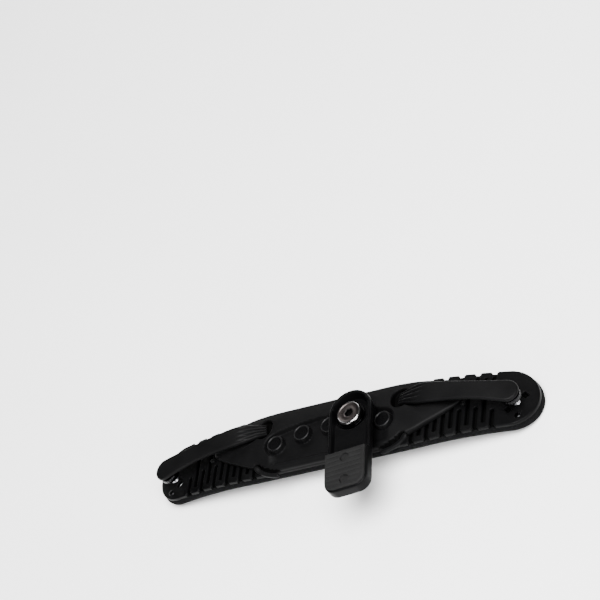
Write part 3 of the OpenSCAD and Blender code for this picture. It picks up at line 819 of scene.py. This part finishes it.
for side_name, sign in (("right", 1), ("left", -1)):
    c = (sign * STUD[0], STUD[1])
    stud = lathe(f"threaded_stud_{side_name}", stud_profile(), c, M_STEEL, n=48, sharp=60)
    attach(stud, f"wing_{side_name}")
    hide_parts(f"adjuster_stud_{side_name}")
    nut = lathe(f"thumb_nut_{side_name}", nut_profile(), c, M_NICKEL, n=216, radius=scallop, sharp=30)
    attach(nut, f"nut_{side_name}")
    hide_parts(f"adjuster_nut_{side_name}")
    prof = [(2.3, nut_top + 0.1), (3.1, nut_top + 0.1), (3.3, nut_top + 0.3), (3.3, stud_top - 0.1), (2.3, stud_top - 0.1)]
    foot = lathe(f"band_foot_{side_name}", prof, c, M_BAND, n=64, sharp=50)
    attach(foot, f"wing_{side_name}")
    rx = END_X + 5.6
    rz = float(plate_z(rx))
    prof = [(0, rz - PLATE_T - 1.3), (1.0, rz - PLATE_T - 1.3), (1.0, rz - 0.05), (1.6, rz + 0.1), (1.56, rz + 0.32), (1.3, rz + 0.52), (0.8, rz + 0.64), (0, rz + 0.68)]
    rivet = lathe(f"rivet_{side_name}", prof, (sign * rx, -10.4), M_NICKEL, n=40, sharp=60)
    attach(rivet, f"wing_{side_name}")
    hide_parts(f"end_rivet_{side_name}")
    gz = float(plate_z(68.4))
    prof = [(0, gz - 2.1), (0.8, gz - 2.1), (0.8, gz + 0.05), (1.2, gz + 0.15), (1.22, gz + 0.75), (1.05, gz + 1.15), (0.65, gz + 1.38), (0, gz + 1.45)]
    pin = lathe(f"leaf_pin_{side_name}", prof, (sign * 68.9, -1.0), M_BAND, n=40, sharp=60)
    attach(pin, f"wing_{side_name}")
    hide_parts(f"guide_pin_{side_name}")


# ---------------------------------------------------------------- boss plugs
for k, i in enumerate((-2, -1, 0, 2)):
    bx, by = BOSS_ARC * math.sin(i * BOSS_STEP), BOSS_Y0 - BOSS_ARC * (1 - math.cos(i * BOSS_STEP))
    prof = [(0, BOSS_TOP - 1.5), (1.85, BOSS_TOP - 1.5), (1.85, BOSS_TOP - 0.02), (4.0, BOSS_TOP - 0.02), (4.2, BOSS_TOP + 0.1), (4.22, BOSS_TOP + 0.22), (4.1, BOSS_TOP + 0.36),
            (3.9, BOSS_TOP + 0.40), (3.72, BOSS_TOP + 0.36), (3.6, BOSS_TOP + 0.22), (3.5, BOSS_TOP + 0.04), (1.2, BOSS_TOP + 0.02), (1.1, BOSS_TOP - 0.12), (0, BOSS_TOP - 0.14)]
    plug = lathe(f"boss_plug_{k}", prof, (bx, by), M_PLUG_RIM_HIGHLIGHT, n=64, sharp=50)
    # rim faces keep the lighter material as a painted highlight; the inner disc gets the darker bracket plastic as
    # painted shade
    plug.data.materials.append(M_BRACKET)
    for poly in plug.data.polygons:
        if math.hypot(poly.center.x, poly.center.y) < 0.00345:
            poly.material_index = 1
    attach(plug, "carrier")
    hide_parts("boss_plugs")


# ---------------------------------------------------------------- bracket
# drawn with its first axis along the strap and its second across it, from the middle of the cup
FAR = -ARM_LEN - CUP_OFF[1]


def arm_place(p):
    q = np.column_stack([p[:, 1] + CUP_OFF[0], p[:, 0] + CUP_OFF[1], p[:, 2]])
    c, s = math.cos(ARM_TURN), math.sin(ARM_TURN)
    return np.column_stack([PIVOT[0] + q[:, 0] * c - q[:, 1] * s, PIVOT[1] + q[:, 0] * s + q[:, 1] * c, q[:, 2]])


def hole_depth(x, y, extra=0.0):
    t = np.zeros_like(x)
    for s_ in (-1, 1):
        hx = FAR + FOOT_L / 2 + s_ * HOLE_PITCH / 2
        t = np.maximum(t, smooth((HOLE_R + extra - np.hypot(x - hx, y) + 0.1) / 0.2))
    return t


def arm_solid():
    def hi(x):
        w = np.where(x > 0, np.sqrt(np.maximum(ARM_HALF**2 - np.maximum(x, 0) ** 2, 0)), ARM_HALF)
        k = np.maximum(FAR + CORNER - x, 0)
        return np.where(x < FAR + CORNER, ARM_HALF - CORNER + np.sqrt(np.maximum(CORNER**2 - k * k, 0)), w)

    def top(x, y, d):
        r_ = np.hypot(x, y)
        edge = 0.7
        q = np.minimum(d, edge)
        z = np.full_like(x, CUP_TOP) - (edge - np.sqrt(np.maximum(edge**2 - (edge - q) ** 2, 0)))
        # tray from the foot to the bowl
        dt = np.minimum(ARM_HALF - RIM_W - np.abs(y), x - (FAR + FOOT_L + 1.4))
        t = np.where(x < 3, smooth((dt + 0.45) / 1.3), 0)
        z = z * (1 - t) + (TRAY_Z - 0.35 * smooth((x + 22) / 12)) * t
        # bowl
        t = smooth((ARM_HALF - RIM_W - r_ + 0.45) / 1.2)
        z = z * (1 - t) + np.minimum(z, CUP_FLOOR) * t
        # foot
        t = smooth((FAR + FOOT_L - x + 0.5) / 0.9)
        q = np.minimum(d, 0.9)
        foot = STRAP_Z + STRAP_T + FOOT_T - (0.9 - np.sqrt(np.maximum(0.81 - (0.9 - q) ** 2, 0)))
        z = z * (1 - t) + foot * t
        t = hole_depth(x, y)
        return z * (1 - t) + (STRAP_Z + 0.25) * t

    def bottom(x, y, d):
        q = np.minimum(d, 0.5)
        z = STRAP_Z + (0.5 - np.sqrt(np.maximum(0.25 - (0.5 - q) ** 2, 0)))
        t = smooth((9.9 - np.hypot(x, y)) / 0.5)
        return z * (1 - t) + (CUP_FLOOR - 0.9) * t

    xs = np.concatenate([FAR + CORNER * (1 - np.cos(np.linspace(0, math.pi / 2, 20)))[:-1], np.linspace(FAR + CORNER, 0, 140)[:-1],
                         ARM_HALF * np.sin(np.linspace(0, math.pi / 2, 60))])
    return field_solid("bracket_strap", xs, lambda x: -hi(x), hi, top, bottom, M_BRACKET, [0, 0.06, 0.16, 0.32, 0.6, 0.95, 1.4], 76, wall=2, sharp=50, place=arm_place)


arm = arm_solid()
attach(arm, "bracket")
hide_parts("bracket_arm")
cup_at = arm_place(np.array([[0.0, 0.0, 0.0]]))[0][:2]
prof = rounded([(3.48, CUP_BOT), (HUB_R, CUP_BOT), (HUB_R, STRAP_Z + 0.4), (HUB_R - 1.2, STRAP_Z + 0.4), (HUB_R - 1.2, CUP_FLOOR - 0.4), (3.48, CUP_FLOOR - 0.4)], 0.5)
hub = lathe("bracket_hub", prof, cup_at, M_BRACKET, n=128, sharp=50)
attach(hub, "bracket")


def rib_solid(name, side):
    w, x0, x1, z0 = 1.0, FAR + 8, -8.5, STRAP_Z - 1.8
    sec = rounded([(-w, z0), (w, z0), (w, STRAP_Z + 0.6), (-w, STRAP_Z + 0.6)], 0.5)
    n = len(sec)
    pts, faces = [], []
    for x in (x0, x0 + 0.6, x1):
        k = 0.8 if x == x0 else 1.0
        for a, z in sec:
            pts.append((x, side * (ARM_HALF - 2.5) + a * k, STRAP_Z + 0.6 + (z - STRAP_Z - 0.6) * k))
    for i in range(2):
        a = np.arange(n) + i * n
        faces += list(zip(a, np.roll(a, -1), np.roll(a, -1) + n, a + n))
    faces += [list(range(n)), list(range(2 * n, 3 * n))]
    return new_mesh(name, arm_place(np.array(pts)), faces, M_BRACKET, sharp=50)


for k, side in enumerate((-1, 1)):
    rib = rib_solid(f"bracket_rib_{k}", side)
    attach(rib, "bracket")


def liner_solid():
    w, r, x0 = ARM_HALF - 0.8, CORNER - 0.8, FAR + 0.8

    def hi(x):
        k = np.maximum(FAR + CORNER - x, 0)
        return np.where(x < FAR + CORNER, w - r + np.sqrt(np.maximum(r**2 - k * k, 0)), w)

    def top(x, y, d):
        q = np.minimum(d, 0.45)
        z = STRAP_Z + STRAP_T + FOOT_T + LINER_T - (0.45 - np.sqrt(np.maximum(0.45**2 - (0.45 - q) ** 2, 0)))
        # shallow grip grooves
        z = z - 0.22 * smooth((0.55 - np.abs(((x + 60) % 2.6) - 1.3)) / 0.3) * smooth((d - 1.0) / 0.5)
        t = hole_depth(x, y)
        return z * (1 - t) + (STRAP_Z + STRAP_T + FOOT_T + 0.02) * t

    xs = np.concatenate([x0 + r * (1 - np.cos(np.linspace(0, math.pi / 2, 16)))[:-1], np.linspace(FAR + CORNER, FAR + FOOT_L - 0.8, 80)])
    return field_solid("grip_liner", xs, lambda x: -hi(x), hi, top, lambda x, y, d: np.full_like(x, STRAP_Z + STRAP_T + FOOT_T - 0.1), M_LINER,
                       [0, 0.08, 0.2, 0.4, 0.7, 1.0], 66, wall=1, sharp=50, place=arm_place)


liner = liner_solid()
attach(liner, "bracket")
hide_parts("arm_liner")


# ---------------------------------------------------------------- clamp screw
def screw_mesh():
    z0 = CUP_FLOOR + 1.1
    n = 96
    ang = np.arange(n) * 2 * math.pi / n
    hexr = 2.1 * math.cos(math.pi / 6) / np.cos((ang % (math.pi / 3)) - math.pi / 6)
    rings = [("c", 1.95, 2.0), ("c", 1.95, z0), ("c", 6.35, z0), ("c", 6.62, z0 + 0.3), ("c", 6.62, z0 + 1.5), ("c", 6.57, z0 + 1.75), ("c", 6.37, z0 + 2.1),
             ("c", 6.05, z0 + 2.4), ("c", 5.78, z0 + 2.48), ("c", 5.45, z0 + 2.46), ("c", 5.1, z0 + 2.22), ("c", 4.9, z0 + 2.16), ("c", 4.1, z0 + 2.10), ("c", 3.0, z0 + 2.12), ("c", 2.75, z0 + 2.16),
             ("h", 1.14, z0 + 2.12), ("h", 1.0, z0 + 1.95), ("h", 1.0, z0 + 0.7)]
    pts = []
    for kind, r, z in rings:
        rr = np.full(n, r) if kind == "c" else hexr * r
        pts.append(np.column_stack([PIVOT[0] + rr * np.cos(ang), PIVOT[1] + rr * np.sin(ang), np.full(n, z)]))
    m = len(rings)
    faces = []
    for i in range(m - 1):
        a, b = np.arange(n) + i * n, np.arange(n) + (i + 1) * n
        faces += list(zip(a, np.roll(a, -1), np.roll(b, -1), b))
    pts = np.concatenate(pts)
    faces.append(list(np.arange(n)))
    faces.append(list(np.arange(n) + (m - 1) * n))
    ob = new_mesh("screw_head", pts, faces, M_CHROME, sharp=35, origin=(PIVOT[0], PIVOT[1], z0))
    # faces inside the hex socket get the near-black steel as painted shade
    ob.data.materials.append(M_SOCKET_SHADE)
    # the flat dish's warm tint is a painted reflection
    ob.data.materials.append(M_DISH_WARM_REFLECTION)
    for poly in ob.data.polygons:
        r = math.hypot(poly.center.x, poly.center.y)
        if r < 0.00236 and poly.center.z > 0.0002:
            poly.material_index = 1
        elif r < 0.0053 and poly.center.z > 0.0018:
            poly.material_index = 2
    return ob


screw = screw_mesh()
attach(screw, "screw")
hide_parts("clamp_screw")

# ---------------------------------------------------------------- floor, light, camera
def floor():
    m, nt, b = material("studio_floor")
    v = coords(nt)
    n = noise(nt, v, 6, 3)
    nt.links.new(ramp(nt, n.outputs["Fac"], [(0.3, (0.93, 0.93, 0.93)), (0.7, (0.95, 0.95, 0.95))]), b.inputs["Base Color"])
    nt.links.new(span(nt, n.outputs["Fac"], 0.7, 0.85), b.inputs["Roughness"])
    me = bpy.data.meshes.new("studio_floor")
    s = 3.0
    me.from_pydata([(-s, -s, 0), (s, -s, 0), (s, s, 0), (-s, s, 0)], [], [(0, 1, 2, 3)])
    me.materials.append(m)
    ob = bpy.data.objects.new("studio_floor", me)
    ob.location = (0, 0, -0.0002)
    bpy.context.scene.collection.objects.link(ob)


floor()

world = bpy.data.worlds.new("studio")
bpy.context.scene.world = world
world.use_nodes = True
bg = world.node_tree.nodes["Background"]
bg.inputs["Color"].default_value = (1.0, 1.0, 1.0, 1)
bg.inputs["Strength"].default_value = 0.16

# the camera, from the outline of the wing in the photograph: axes in the row frame, in mm
U = np.array([0.855, 0.111, -0.507])
V = np.array([0.226, 0.800, 0.556])
U /= np.linalg.norm(U)
V -= U * (U @ V)
V /= np.linalg.norm(V)
W = np.cross(U, V)
R3 = np.stack([U, V, W])
eye = R3.T @ (np.array([0, 0, 1100.0]) - np.array([15.9593, -62.2152, 0.0]))
eye_row = row([eye])[0]
cam_data = bpy.data.cameras.new("camera")
cam_data.sensor_width = 36.0
cam_data.lens = 36.0 * 2310.0 / 600.0
cam_data.clip_start, cam_data.clip_end = 0.01, 20
cam = bpy.data.objects.new("camera", cam_data)
bpy.context.scene.collection.objects.link(cam)
cam.matrix_world = Matrix(((U[0], V[0], W[0], eye_row[0]), (U[1], V[1], W[1], eye_row[1]), (U[2], V[2], W[2], eye_row[2]), (0, 0, 0, 1)))
bpy.context.scene.camera = cam


def area(name, at, size, power, aim=(0.04, 0.0, 0.02), color=(1, 1, 1)):
    l = bpy.data.lights.new(name, "AREA")
    l.shape = "RECTANGLE"
    l.size, l.size_y = size
    l.energy = power
    l.color = color
    o = bpy.data.objects.new(name, l)
    o.location = at
    o.rotation_euler = (Vector(aim) - Vector(at)).to_track_quat("-Z", "Y").to_euler()
    bpy.context.scene.collection.objects.link(o)
    return o


area("overhead", (0.38, -0.32, 1.38), (1.1, 1.1), 106)
area("front_right", (0.95, -0.75, 0.42), (0.5, 0.35), 12)
area("front", (-0.35, -1.05, 0.55), (0.7, 0.4), 5)
area("back", (-0.2, 1.1, 0.9), (0.9, 0.35), 6)
